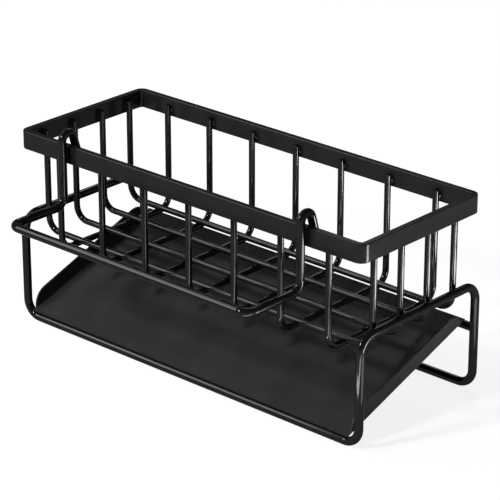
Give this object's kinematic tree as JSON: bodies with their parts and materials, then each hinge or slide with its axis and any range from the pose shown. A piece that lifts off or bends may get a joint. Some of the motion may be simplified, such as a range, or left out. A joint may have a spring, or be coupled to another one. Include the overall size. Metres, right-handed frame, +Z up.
{
  "type": "kitchen sink caddy",
  "caption": "Black wire sink caddy: rimmed basket welded on a bent-wire stand, hook-on towel bar in front, sloping drip tray that draws out below.",
  "frame": {"origin": "on the counter, under the middle of the stand's footprint", "axes": "+X along the caddy, to the right seen from the sink; +Y from the sink to the wall; +Z up"},
  "size_m": [0.2446, 0.1401, 0.1203],
  "materials": {
    "wire": "glossy black coating",
    "strip": "satin black coating",
    "tray": "satin black coating"
  },
  "bodies": {
    "rack": {"stand_loop": "wire", "rear_rail": "wire", "rim_band": "strip", "long_wire_1": "wire", "long_wire_2": "wire", "long_wire_3": "wire", "long_wire_4": "wire", "cross_wire_1": "wire", "cross_wire_2": "wire", "cross_wire_3": "wire", "cross_wire_4": "wire", "cross_wire_5": "wire", "cross_wire_6": "wire", "cross_wire_7": "wire"},
    "towel_bar": {"towel_bar": "wire"},
    "drip_tray": {"drip_tray": "tray"}
  },
  "joints": [
    {"name": "towel_bar_lift", "type": "slide", "parent": "rack", "child": "towel_bar", "axis": [0, 0, 1], "range_m": [0, 0.045]},
    {"name": "drip_tray_draw", "type": "slide", "parent": "rack", "child": "drip_tray", "axis": [0, -1, 0], "range_m": [0, 0.11]}
  ]
}
